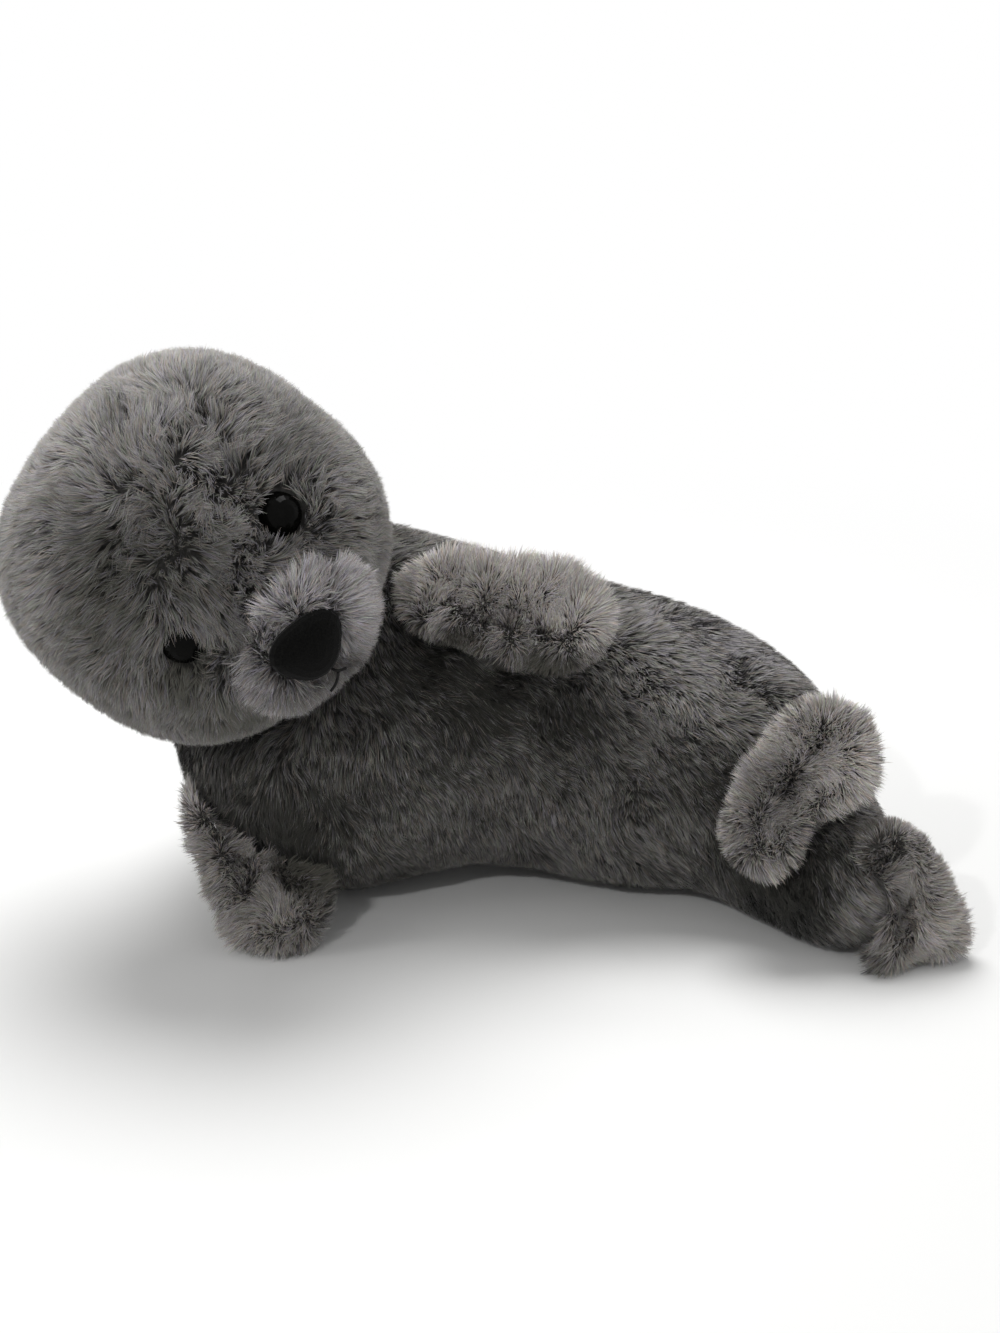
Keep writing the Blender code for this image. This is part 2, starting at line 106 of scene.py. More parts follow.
def placeCamera():
    look = cameraLook
    target = Vector(look["target"])
    back = Vector((0, -math.cos(look["above"]), math.sin(look["above"])))
    data = bpy.data.cameras.new("camera")
    data.sensor_fit = "VERTICAL"
    data.sensor_height = look["sensor"]
    data.lens = look["lens"]
    data.clip_start = 0.01
    camera = bpy.data.objects.new("camera", data)
    camera.location = target + back * look["away"]
    camera.rotation_euler = (-back).to_track_quat("-Z", "Y").to_euler()
    scene.collection.objects.link(camera)
    scene.camera = camera


stageLook = {
    "floorSize": 6.0,
    "floorColour": "#f4f4f3",
    "worldColour": "#ffffff",
    "worldStrength": 0.35,
    # the floor turns to plain white between these distances from the toy
    "fadeFrom": 0.14,
    "fadeTo": 0.50,
    # name, place, size across, watts
    "lamps": (
        ("topLamp", (-0.10, 0.25, 0.95), 0.70, 8.0),
        ("leftLamp", (-0.80, -0.35, 0.60), 0.45, 1.1),
        ("frontLamp", (0.45, -0.95, 0.55), 0.60, 0.2),
        ("glintLamp", (-0.30, -0.80, 0.62), 0.035, 1.9),
    ),
    "lampsAimAt": (0.0, 0.0, 0.07),
}


def whiteToCamera(tree, shader, colour, output, share=1.0):
    # what the camera, a mirror or a glass sees directly is plain white, and the rest stays as it is
    path = addNode(tree, "ShaderNodeLightPath").outputs
    seen = addNode(tree, "ShaderNodeMath", {0: path["Is Camera Ray"], 1: path["Is Glossy Ray"]},
                   operation="MAXIMUM")
    seen = addNode(tree, "ShaderNodeMath", {0: seen.outputs[0], 1: path["Is Transmission Ray"]},
                   operation="MAXIMUM")
    white = addNode(tree, colour, {"Color": (1, 1, 1, 1), "Strength": 1.0})
    seen = addNode(tree, "ShaderNodeMath", {0: seen.outputs[0], 1: share}, operation="MULTIPLY")
    mix = addNode(tree, "ShaderNodeMixShader", {0: seen.outputs[0], 1: shader, 2: white.outputs[0]})
    tree.links.new(mix.outputs[0], output.inputs["Surface"])


def setStage():
    look = stageLook
    world = bpy.data.worlds.new("studio")
    world.use_nodes = True
    tree = world.node_tree
    background = tree.nodes["Background"]
    background.inputs["Color"].default_value = hexColour(look["worldColour"])
    background.inputs["Strength"].default_value = look["worldStrength"]
    whiteToCamera(tree, background.outputs[0], "ShaderNodeBackground", tree.nodes["World Output"])
    scene.world = world

    form = bmesh.new()
    bmesh.ops.create_grid(form, x_segments=1, y_segments=1, size=look["floorSize"] / 2)
    floor = fromBmesh("floor", form)
    material, tree, shader = startMaterial("palePaper")  # matt paper sweep
    shader.inputs["Base Color"].default_value = hexColour(look["floorColour"])
    shader.inputs["Roughness"].default_value = 1.0
    shader.inputs["Specular IOR Level"].default_value = 0.0
    place = addNode(tree, "ShaderNodeTexCoord")
    gap = addNode(tree, "ShaderNodeVectorMath", {0: place.outputs["Object"]}, operation="LENGTH")
    far = addNode(tree, "ShaderNodeMapRange", {
        "Value": gap.outputs["Value"], "From Min": look["fadeFrom"], "From Max": look["fadeTo"]},
        interpolation_type="SMOOTHSTEP")
    whiteToCamera(
        tree, shader.outputs[0], "ShaderNodeEmission", tree.nodes["Material Output"], far.outputs[0])
    floor.data.materials.append(material)

    for name, place, size, watts in look["lamps"]:
        data = bpy.data.lights.new(name, "AREA")
        data.shape = "DISK"
        data.size = size
        data.energy = watts
        lamp = bpy.data.objects.new(name, data)
        lamp.location = place
        aim = Vector(look["lampsAimAt"]) - lamp.location
        lamp.rotation_euler = aim.to_track_quat("-Z", "Y").to_euler()
        scene.collection.objects.link(lamp)
    scene.view_settings.view_transform = "Standard"


# Meshes

def fromBmesh(name, form):
    mesh = bpy.data.meshes.new(name)
    form.to_mesh(mesh)
    form.free()
    mesh.shade_smooth()
    thing = bpy.data.objects.new(name, mesh)
    scene.collection.objects.link(thing)
    return thing


def applyModifiers(thing):
    graph = bpy.context.evaluated_depsgraph_get()
    mesh = bpy.data.meshes.new_from_object(thing.evaluated_get(graph))
    thing.modifiers.clear()
    old = thing.data
    thing.data = mesh
    bpy.data.meshes.remove(old)


def meshPoints(mesh):
    points = np.empty(len(mesh.vertices) * 3)
    mesh.vertices.foreach_get("co", points)
    return points.reshape(-1, 3)


def meshNormals(mesh):
    normals = np.empty(len(mesh.vertices) * 3)
    mesh.vertices.foreach_get("normal", normals)
    return normals.reshape(-1, 3)


def movePoints(mesh, points):
    mesh.vertices.foreach_set("co", points.ravel())
    mesh.update()


def unit(vectors):
    return vectors / np.maximum(np.linalg.norm(vectors, axis=-1, keepdims=True), 1e-9)


def alongSkin(vectors, normals):
    return vectors - normals * (vectors * normals).sum(axis=1, keepdims=True)


def ripple(points, size, seed):
    # a smooth random value, about -1 to 1, that changes over this distance
    random = np.random.default_rng(seed)
    total = np.zeros(len(points))
    waves = 7
    for _ in range(waves):
        heading = random.normal(size=3)
        heading *= math.tau / size * random.uniform(0.6, 1.4) / np.linalg.norm(heading)
        total += np.sin(points @ heading + random.uniform(0, math.tau))
    return total / math.sqrt(waves)


def rippleVectors(points, size, seed):
    return np.stack([ripple(points, size, seed + axis) for axis in range(3)], axis=1)


def near(points, centre, reach):
    # 1 at the centre, falling smoothly to nothing at a few times the reach
    gap = np.linalg.norm(points - np.array(centre), axis=1)
    return np.exp(-((gap / reach) ** 2))


def pixelRay(x, y):
    # from the camera through a pixel of the photograph
    look = cameraLook
    width, height = look["picture"]
    focal = look["lens"] / look["sensor"] * height
    forward = Vector((0, math.cos(look["above"]), -math.sin(look["above"])))
    right = Vector((1, 0, 0))
    up = right.cross(forward)
    heading = forward + right * ((x - width / 2) / focal) + up * ((height / 2 - y) / focal)
    return Vector(look["target"]) - forward * look["away"], heading.normalized()


def pixelOn(node, x, y):
    # the point of a node that the picture shows at this pixel
    start, heading = pixelRay(x, y)
    hit = trees[node].ray_cast(start, heading)[0]
    if hit is None:
        hit = trees[node].find_nearest(start + heading * cameraLook["away"])[0]
    return np.array(hit)


def nodeTree(name):
    mesh = nodes[name].data
    return BVHTree.FromPolygons([v.co for v in mesh.vertices], [p.vertices for p in mesh.polygons])


trees = {name: nodeTree(name) for name in nodes}


def nodeMiddle(name):
    low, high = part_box(name)
    return (np.array(low) + np.array(high)) / 2


# Stuffed skins

skinLook = {
    "smoothings": 3,
    "pressure": 4.0,
    "quality": 6,
    "frames": 20,
    "mostMove": 2.5 * mm,
    "fill": 0.7,
}

# voxel: remesh size, sink: how far the woven backing lies below the tips of the pile
stuffed = {
    "head": {"voxel": 4.5 * mm, "sink": 5.0 * mm, "hull": True, "slot": "head_plush"},
    "body": {"voxel": 5.0 * mm, "sink": 3.8 * mm, "hull": False, "slot": "body_plush"},
    "muzzle": {"voxel": 3.0 * mm, "sink": 4.5 * mm, "hull": True, "slot": "muzzle_plush"},
}
flippers = ("left_front_flipper", "right_front_flipper", "left_rear_flipper", "right_rear_flipper")
for node in flippers:
    stuffed[node] = {"voxel": 2.5 * mm, "sink": 3.6 * mm, "hull": False, "slot": "flipper_plush"}


def cutSkin(node, look):
    # the node's own form, closed over its sockets, an even grid, and drawn in to where the backing lies
    form = bmesh.new()
    form.from_mesh(nodes[node].data)
    bmesh.ops.remove_doubles(form, verts=form.verts, dist=0.01 * mm)
    if look["hull"]:
        hull = bmesh.ops.convex_hull(form, input=form.verts)
        spare = [item for item in hull["geom_interior"] if isinstance(item, bmesh.types.BMVert)]
        bmesh.ops.delete(form, geom=spare, context="VERTS")
        hullFaces = {item for item in hull["geom"] if isinstance(item, bmesh.types.BMFace)}
        loose = [face for face in form.faces if face not in hullFaces]
        bmesh.ops.delete(form, geom=loose, context="FACES_ONLY")
    skin = fromBmesh(node + "_skin", form)
    remesh = skin.modifiers.new("even grid", "REMESH")
    remesh.mode = "VOXEL"
    remesh.voxel_size = look["voxel"]
    applyModifiers(skin)
    mesh = skin.data
    form = bmesh.new()
    form.from_mesh(mesh)
    for _ in range(skinLook["smoothings"]):
        bmesh.ops.smooth_vert(
            form, verts=form.verts, factor=0.5, use_axis_x=True, use_axis_y=True, use_axis_z=True)
    form.to_mesh(mesh)
    form.free()
    movePoints(mesh, meshPoints(mesh) - meshNormals(mesh) * look["sink"])
    return skin


def addCloth(skin):
    cloth = skin.modifiers.new("stuffing", "CLOTH")
    cloth.settings.use_pressure = True
    cloth.settings.uniform_pressure_force = skinLook["pressure"]
    cloth.settings.effector_weights.gravity = 0
    cloth.settings.quality = skinLook["quality"]
    cloth.point_cache.frame_start = 1
    cloth.point_cache.frame_end = skinLook["frames"]


def stuffSkins():
    skins = {node: cutSkin(node, look) for node, look in stuffed.items()}
    print("skins cut:", len(skins))
    before = {node: meshPoints(skin.data) for node, skin in skins.items()}
    for skin in skins.values():
        addCloth(skin)
    for step in range(1, skinLook["frames"] + 1):
        scene.frame_set(step)
    for node, skin in skins.items():
        applyModifiers(skin)
        move = meshPoints(skin.data) - before[node]
        size = np.linalg.norm(move, axis=1, keepdims=True)
        most = skinLook["mostMove"]
        movePoints(skin.data, before[node] + move * np.minimum(1, most / np.maximum(size, 1e-9)))
    scene.frame_set(1)
    print("skins stuffed")
    for node, skin in skins.items():
        smooth = skin.modifiers.new("smooth", "SUBSURF")
        smooth.levels = smooth.render_levels = 1
        applyModifiers(skin)
        skin.data.shade_smooth()
        skin.data.materials.append(backing)
        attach(skin, "root")
        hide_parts(node)
    return skins


def knitBacking():
    # knitted polyester backing of the plush: charcoal, dull, only glimpsed between the strands
    material, tree, shader = startMaterial("knitBacking")
    place = addNode(tree, "ShaderNodeTexCoord")
    knit = addNode(tree, "ShaderNodeTexNoise", {"Vector": place.outputs["Object"], "Scale": 900.0})
    colour = setRamp(addNode(tree, "ShaderNodeValToRGB", {"Fac": knit.outputs["Fac"]}),
                     ((0.3, "#393837"), (0.7, "#4b4a48")))
    tree.links.new(colour.outputs["Color"], shader.inputs["Base Color"])
    shader.inputs["Roughness"].default_value = 1.0
    shader.inputs["Specular IOR Level"].default_value = 0.1
    return material


backing = knitBacking()


# The pile

strandLook = {
    # the lower and the upper half of a strand lean by these shares of its lean
    "lowLean": 0.55,
    "highLean": 1.45,
    # least and most of what a strand's length, width and pull into its tuft are multiplied by
    "lengths": (0.88, 1.06),
    "widths": (0.7, 1.3),
    "pulls": (0.6, 1.2),
    "middlePull": 0.4,
    # how far apart the middles and the tips of a tuft's strands stay
    "middlesApart": 0.6,
    "tipsApart": 0.25,
    "tones": (0.02, 0.98),
    "shortest": 0.05,  # below this share of its length a strand isn't planted
    "aboveFloor": 0.4 * mm,
    # the map's change of tone from a strand's middle to its side, and its range from root to tip
    "toneAcross": 0.004,
    "mapRoot": 0.02,
    "mapSpan": 0.96,
    "rounded": 0.5,
}

plantLook = {
    "coarsest": 0.62,
    "finer": 0.38,  # added where the skin faces the picture
    "facingFrom": -0.35,
    "facingOver": 0.5,
    "underSlope": 2,
    "underFrom": 0.6,
    "lyingFrom": 12 * mm,
    "lyingOver": 6 * mm,
    "lyingCoarser": 0.6,
    "tipsPastSink": 4.0 * mm,
}


def modelStrand():
    # one strand, a slim diamond that bends where it is widest: x across, y from root to tip
    form = bmesh.new()
    bmesh.ops.create_circle(form, cap_ends=True, segments=4, radius=1.0)
    bmesh.ops.connect_verts(form, verts=[vert for vert in form.verts if abs(vert.co.x) > 0.5])
    for vert in form.verts:
        vert.co.y = (vert.co.y + 1) / 2
    form.verts.index_update()
    points = np.array([vert.co[:2] for vert in form.verts])
    faces = [[vert.index for vert in face.verts] for face in form.faces]
    form.free()
    return points, faces


strandPoints, strandFaces = modelStrand()


def isInside(tree, spot):
    # a line out of a closed form crosses it an odd number of times
    heading = Vector((0.36, 0.48, 0.80))
    crossings = 0
    hit = tree.ray_cast(spot, heading)[0]
    while hit is not None:
        crossings += 1
        hit = tree.ray_cast(hit + heading * 0.01 * mm, heading)[0]
    return crossings % 2 == 1


def openFaces(middles, normals, neighbours, reach, deep=3.0 * mm):
    # skin that lies deep under another piece grows no pile
    shown = np.ones(len(middles), bool)
    probes = middles + normals * reach
    for name in neighbours:
        low, high = (np.array(corner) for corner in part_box(name))
        for index in np.flatnonzero(((probes > low) & (probes < high)).all(axis=1)):
            probe = Vector(probes[index])
            if trees[name].find_nearest(probe)[3] > deep and isInside(trees[name], probe):
                shown[index] = False
    return shown


def closeness(middles, normals):
    # the pile is planted finest where the picture looks, and coarsest where the toy lies on the floor
    look = plantLook
    towards = unit(np.array(scene.camera.location) - middles)
    facing = np.clip(((normals * towards).sum(axis=1) - look["facingFrom"]) / look["facingOver"], 0, 1)
    lying = np.clip((look["lyingFrom"] - middles[:, 2]) / look["lyingOver"], 0, 1)
    lying = lying * np.clip(-normals[:, 2] * look["underSlope"] - look["underFrom"], 0, 1)
    return (look["coarsest"] + look["finer"] * facing) * (1 - look["lyingCoarser"] * lying)


def scatterRoots(skin, perSquareMm, neighbours, reach, random):
    mesh = skin.data
    mesh.calc_loop_triangles()
    corners = np.empty(len(mesh.loop_triangles) * 3, int)
    mesh.loop_triangles.foreach_get("vertices", corners)
    corners = corners.reshape(-1, 3)
    points, normals = meshPoints(mesh), meshNormals(mesh)
    first, second, third = points[corners].transpose(1, 0, 2)
    cross = np.cross(second - first, third - first)
    area = np.linalg.norm(cross, axis=1) / 2
    middles, facing = (first + second + third) / 3, unit(cross)
    fine = closeness(middles, facing)
    area = area * openFaces(middles, facing, neighbours, reach) * fine
    count = int(area.sum() / mm**2 * perSquareMm)
    picked = random.choice(len(area), count, p=area / area.sum())
    share = random.uniform(size=(count, 2))
    share = np.where(share.sum(axis=1, keepdims=True) > 1, 1 - share, share)
    weights = np.column_stack((1 - share.sum(axis=1), share))[:, :, None]
    roots = (points[corners[picked]] * weights).sum(axis=1)
    out = unit((normals[corners[picked]] * weights).sum(axis=1))
    return roots, out, fine[picked]


def nearestClump(roots, clumps):
    tree = KDTree(len(clumps))
    for index, root in enumerate(roots[clumps]):
        tree.insert(root, index)
    tree.balance()
    return clumps[np.array([tree.find(root)[1] for root in roots])]


def growPile(node, skin, coat):
    look = strandLook
    random = np.random.default_rng(coat["seed"])
    sink = stuffed[node]["sink"]
    tips = sink + plantLook["tipsPastSink"]
    roots, out, fine = scatterRoots(skin, coat["perSquareMm"], coat["neighbours"], tips, random)
    scale = coat["trim"](roots)
    kept = scale > look["shortest"]
    roots, out, fine, scale = roots[kept], out[kept], fine[kept], scale[kept]
    count = len(roots)

    # how each strand lies: the comb's pull along the skin sets its heading and how far it leans
    lay = alongSkin(coat["comb"](roots, out), out)
    lay += alongSkin(rippleVectors(roots, coat["swirlSize"], coat["seed"]), out) * coat["swirl"]
    lay += alongSkin(random.normal(size=(count, 3)), out) * coat["stray"]
    clump = nearestClump(roots, random.choice(count, int(count / coat["perClump"]), replace=False))
    tuft = alongSkin(random.normal(size=(count, 3)), out) * coat["tuft"]
    lay += tuft[clump]
    pull = np.minimum(1, np.linalg.norm(lay, axis=1))
    heading = unit(lay)
    lean = coat["lean"] * pull
    # where the pile stands up it is packed shorter, so that its tips keep to the toy's form
    rise = (np.cos(lean * look["lowLean"]) + np.cos(lean * look["highLean"])) / 2
    length = np.minimum(coat["length"], (sink + coat["over"]) / rise) * scale
    length *= random.uniform(*look["lengths"], count)
    length *= (1 + coat["uneven"] * random.normal(size=count))[clump]

    def reach(angle):
        return out * np.cos(angle)[:, None] + heading * np.sin(angle)[:, None]

    half = length[:, None] / 2
    middle = roots + reach(lean * look["lowLean"]) * half
    tip = middle + reach(lean * look["highLean"]) * half
    together = coat["together"] * random.uniform(*look["pulls"], (count, 1))
    apart = roots - roots[clump]
    middle += (middle[clump] + apart * look["middlesApart"] - middle) * together * look["middlePull"]
    tip += (tip[clump] + apart * look["tipsApart"] - tip) * together

    # the flat of a strand faces out of the skin, give or take a roll
    axis = unit(tip - roots)
    side = unit(np.cross(axis, out))
    roll = random.normal(0, coat["roll"], (count, 1))
    side = side * np.cos(roll) + np.cross(axis, side) * np.sin(roll)
    width = coat["width"] * random.uniform(*look["widths"], count) * np.sqrt(scale) / np.sqrt(fine)
    width = width[:, None]
    face = unit(unit(np.cross(side, axis)) * (1 - coat["soft"]) + out * coat["soft"])

    tone = coat["tone"](roots, out) + coat["toneClump"] * random.normal(size=count)[clump]
    tone = np.clip(tone + coat["toneStrand"] * random.normal(size=count), *look["tones"])

    spots, maps, faces = [], [], []
    for across, along in strandPoints:
        centre = roots * (1 - along) ** 2 + middle * 2 * along * (1 - along) + tip * along**2
        spots.append(centre + side * width * across / 2)
        height = np.full(count, look["mapRoot"] + look["mapSpan"] * along)
        maps.append(np.column_stack((tone + across * look["toneAcross"], height)))
        faces.append(unit(face + side * across * look["rounded"]))
    spots = np.stack(spots, axis=1)
    spots[:, :, 2] = np.maximum(spots[:, :, 2], look["aboveFloor"])
    maps, faces = np.stack(maps, axis=1), np.stack(faces, axis=1)

    # large pieces are grown in panels, from the head end to the tail
    order = np.argsort(roots @ np.array(coat["panelsAlong"]))
    pieces = []
    for number, chosen in enumerate(np.array_split(order, coat["panels"])):
        label = node + "_pile" + (f"_{number + 1}" if coat["panels"] > 1 else "")
        pieces.append(plantPanel(label, spots[chosen], maps[chosen], faces[chosen], coat))
    print("pile:", node, count, "strands in", len(pieces), "panels")
    return count


def plantPanel(label, spots, maps, faces, coat):
    count, perStrand = spots.shape[:2]
    base = np.arange(count)[:, None] * perStrand
    sizes = np.array([len(face) for face in strandFaces])
    corners = np.concatenate([np.array(face) for face in strandFaces])
    corners = (base + corners).ravel()
    mesh = bpy.data.meshes.new(label)
    mesh.vertices.add(count * perStrand)
    mesh.vertices.foreach_set("co", spots.ravel())
    mesh.loops.add(len(corners))
    mesh.loops.foreach_set("vertex_index", corners)
    starts = np.concatenate(([0], np.cumsum(np.tile(sizes, count))[:-1]))
    mesh.polygons.add(len(starts))
    mesh.polygons.foreach_set("loop_start", starts)
    mesh.update(calc_edges=True)
    layer = mesh.uv_layers.new(name="OFBake")
    layer.data.foreach_set("uv", maps.reshape(-1, 2)[corners].ravel())
    mesh.shade_smooth()
    # strands are shaded mostly as the fabric faces, which blends them into one soft pile
    mesh.normals_split_custom_set_from_vertices(faces.reshape(-1, 3))
    mesh.materials.append(coat["material"])
    piece = bpy.data.objects.new(label, mesh)
    scene.collection.objects.link(piece)
    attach(piece, "root")
    return piece


tintTurns = 37.0  # how often the tints come round between the darkest and the palest strands


def plushPile(name, look):
    # polyester plush pile: dull, dark where it is rooted and pale at the tips, with a soft sheen.
    # The map runs from dark to pale strands across, and from root to tip upwards.
    material, tree, shader = startMaterial(name)
    place = addNode(tree, "ShaderNodeUVMap", uv_map="OFBake")
    parts = addNode(tree, "ShaderNodeSeparateXYZ", {"Vector": place.outputs["UV"]})
    height = setRamp(addNode(tree, "ShaderNodeValToRGB", {"Fac": parts.outputs["Y"]}), look["rootToTip"])
    tone = addNode(tree, "ShaderNodeMapRange", {
        "Value": parts.outputs["X"], "To Min": look["darkest"], "To Max": look["palest"]})
    shade = addNode(tree, "ShaderNodeVectorMath", {
        0: height.outputs["Color"], "Scale": tone.outputs["Result"]}, operation="SCALE")
    # neighbouring strands take a tint of lilac, olive or brown
    turns = addNode(tree, "ShaderNodeMath", {0: parts.outputs["X"], 1: tintTurns}, operation="MULTIPLY")
    turns = addNode(tree, "ShaderNodeMath", {0: turns.outputs[0]}, operation="FRACT")
    tint = setRamp(addNode(tree, "ShaderNodeValToRGB", {"Fac": turns.outputs[0]}), look["tints"])
    tint.color_ramp.interpolation = "CONSTANT"
    colour = addNode(tree, "ShaderNodeVectorMath", {0: shade.outputs["Vector"], 1: tint.outputs["Color"]},
                     operation="MULTIPLY")
    tree.links.new(colour.outputs["Vector"], shader.inputs["Base Color"])
    shader.inputs["Roughness"].default_value = 0.85
    shader.inputs["Specular IOR Level"].default_value = 0.15
    shader.inputs["Sheen Weight"].default_value = 0.15
    shader.inputs["Sheen Roughness"].default_value = 0.6
    return material


tints = ((0.0, "#ffffff"), (0.25, "#f5efff"), (0.5, "#f6ffec"), (0.75, "#ffefe4"))
headPlush = plushPile("headPlush", {
    "rootToTip": ((0.0, "#2c2b2a"), (0.35, "#656463"), (0.7, "#91908f"), (1.0, "#adacab")),
    "darkest": 0.3, "palest": 1.5, "tints": tints})
bodyPlush = plushPile("bodyPlush", {
    "rootToTip": ((0.0, "#3a3938"), (0.35, "#5a5958"), (0.7, "#838280"), (1.0, "#9c9b99")),
    "darkest": 0.1, "palest": 1.5, "tints": tints})
muzzlePlush = plushPile("muzzlePlush", {
    "rootToTip": ((0.0, "#5c5a5c"), (0.35, "#969496"), (0.7, "#bcbabd"), (1.0, "#d4d2d5")),
    "darkest": 0.2, "palest": 1.5, "tints": tints})
flipperPlush = plushPile("flipperPlush", {
    "rootToTip": ((0.0, "#6b6663"), (0.35, "#9f9b98"), (0.7, "#c6c3c1"), (1.0, "#dcdad8")),
    "darkest": 0.15, "palest": 1.55, "tints": tints})


def eyeAxis(side):
    # an eye is turned on its longest axis, which points out of the head
    points = meshPoints(nodes["eye_" + side].data)
    middle = points.mean(axis=0)
    heading = np.linalg.svd(points - middle, full_matrices=False)[2][0]
    return middle, heading if heading @ (middle - nodeMiddle("head")) > 0 else -heading


eyes = {side: eyeAxis(side) for side in ("left", "right")}
noseMiddle = nodeMiddle("nose")


def eyeAxisGap(points, side):
    # how far points lie from an eye's axis, on the side of the head that the eye is on
    middle, heading = eyes[side]
    rel = points - middle
    beside = rel - heading * (rel @ heading)[:, None]
    front = (rel @ heading) > -15 * mm
    return np.where(front, np.linalg.norm(beside, axis=1), 1.0), beside


# Each piece has a comb, a trim and a tone, which runs from 0, dark, to 1, pale. Places are pixels of the
# photograph. Patches are a size, a seed and a change of tone, and spots are x, y, a reach in mm and a change.

def toneOf(node, look, spots, points):
    tone = np.full(len(points), look["tone"])
    for size, seed, change in look["patches"]:
        tone += change * ripple(points, size, seed)
    # the spots paint shade where shadow falls on the pile, and here and there painted light
    for x, y, reach, change in spots:
        tone += change * near(points, pixelOn(node, x, y), reach * mm)
    return tone


headFur = {
    "whorl": (188, 502),
    "whorlReach": 46 * mm,
    "whorlPower": 1.1,
    "neckFrom": 62 * mm,
    "neckOver": 30 * mm,
    "tuftSize": 11 * mm,
    "tuftPull": 0.36,
    "tuftFrom": 1.3,
    "leastTuft": 0.45,
    # where the pile has parted: x, y and reach in mm
    "partings": ((248, 499, 4.0), (237, 598, 4.5), (100, 585, 6.0), (118, 520, 5.0), (190, 440, 5.0),
                 (272, 430, 4.5), (160, 590, 5.0), (352, 570, 3.5)),
    "partingPull": 0.8,
    # how much darker the pile is at the partings: painted shade in the gaps
    "partingShade": 0.14,
    "eyeRadius": 6.1 * mm,
    "eyeReach": 6 * mm,
    # how far from the eye's axis the pile begins, and how much of it falls over the eye
    "eyes": {"left": (6.7 * mm, 0.08), "right": (5.0 * mm, 0.75)},
    "eyeTaper": 3 * mm,
    "eyeTapered": 0.3,  # the share of the length that is trimmed at the edge, the rest stays whole
    "eyeWhole": 0.7,
    "eyeUpright": 1.1,
    "tone": 0.54,
    # the pile is paler where it faces up and darker where it faces down: painted light and painted shade
    "up": 0.12,
    "under": 0.22,
    "patches": ((26 * mm, 5, 0.06), (9 * mm, 9, 0.07)),
    # the spots are painted shade under the muzzle, round the eyes and across the face, and the one that
    # raises the tone is painted light
    "spots": (
        (150, 580, 22, -0.24), (205, 590, 14, -0.12), (95, 625, 16, -0.16), (190, 700, 18, -0.18),
        (258, 715, 12, -0.40), (275, 415, 18, -0.32), (300, 455, 10, -0.15), (180, 455, 18, 0.10),
        (130, 520, 16, -0.20), (200, 663, 5, -0.40), (174, 666, 5, -0.35), (287, 538, 5, -0.40),
        (118, 640, 14, -0.14), (385, 600, 8, -0.35), (100, 540, 14, -0.13), (160, 545, 14, -0.10),
        (222, 565, 11, -0.16), (272, 735, 9, -0.30)),
}
headWhorl = pixelOn("head", *headFur["whorl"])
partings = [(pixelOn("head", x, y), reach * mm) for x, y, reach in headFur["partings"]]
neck = (nodeMiddle("head") + nodeMiddle("body")) / 2


def trimHead(points):
    look = headFur
    scale = np.ones(len(points))
    for side, (edge, _) in look["eyes"].items():
        gap, _ = eyeAxisGap(points, side)
        taper = np.clip((gap - edge) / look["eyeTaper"], 0, 1)
        scale *= taper * look["eyeTapered"] + look["eyeWhole"] * (gap > edge)
    return scale


def combHead(points, out):
    # away from a whorl on the forehead, where the pile stands up, and on the back of the head to the neck
    look = headFur
    heading = points - headWhorl
    gap = np.linalg.norm(heading, axis=1, keepdims=True)
    behind = np.clip((gap - look["neckFrom"]) / look["neckOver"], 0, 1)
    heading = unit(alongSkin(unit(heading) * (1 - behind) + unit(neck - points) * behind, out))
    lay = heading * np.minimum(1, (gap / look["whorlReach"]) ** look["whorlPower"])
    tufted = np.clip(look["tuftFrom"] - gap / look["whorlReach"], look["leastTuft"], 1)
    lay += rippleVectors(points, look["tuftSize"], 31) * look["tuftPull"] * tufted
    for spot, size in partings:
        lay += unit(points - spot) * near(points, spot, size)[:, None] * look["partingPull"]
    # the pile stands up round the eyes, and falls over them only from the whorl's side
    for side, (_, over) in look["eyes"].items():
        gap, beside = eyeAxisGap(points, side)
        close = np.exp(-((np.maximum(gap - look["eyeRadius"], 0) / look["eyeReach"]) ** 2))[:, None]
        before = (unit(beside) * unit(heading)).sum(axis=1, keepdims=True) < 0
        lay *= 1 - close * np.where(before, 1 - over, look["eyeUpright"])
    return lay


def toneHead(points, out):
    look = headFur
    up = out[:, 2]
    # painted light on the pile that faces up and painted shade on the pile that faces down
    tone = toneOf("head", look, look["spots"], points) + look["up"] * up - look["under"] * np.clip(-up, 0, 1)
    # painted shade at the partings
    for spot, size in partings:
        tone -= look["partingShade"] * near(points, spot, size)
    return tone


# a stitch is the pixels of the photograph that it passes
mouthLook = {
    "stitches": (((324, 664), (331, 668), (338, 672), (346, 668)), ((338, 672), (339, 681), (331, 691))),
    "thick": 0.8 * mm,
    "sink": 0.9 * mm,
}

muzzleFur = {
    "uprightTo": 9 * mm,
    "combedOver": 8 * mm,
    "mostCombed": 0.8,
    "shortTo": 7 * mm,
    "shortOver": 4 * mm,
    "shortest": 0.7,
    "mouthReach": 4.5 * mm,
    "mouthTrim": 0.5,
    "tone": 0.42,
    # paler where the pile faces up, painted light, and darker on its side away from the tail, painted shade
    "up": 0.14,
    "tailwards": 3.0,
    "patches": ((15 * mm, 6, 0.06),),
    # the spots are painted shade on the muzzle's lower and right side
    "spots": (
        (345, 680, 10, -0.30), (378, 620, 10, -0.36), (300, 695, 10, -0.24), (262, 660, 9, -0.08),
        (384, 598, 7, -0.24), (370, 652, 8, -0.22)),
}


def combMuzzle(points, out):
    # away from the nose, and upright beside it, where tufts reach over its edge
    look = muzzleFur
    heading = points - noseMiddle
    gap = np.linalg.norm(heading, axis=1, keepdims=True)
    return unit(heading) * np.clip((gap - look["uprightTo"]) / look["combedOver"], 0, look["mostCombed"])


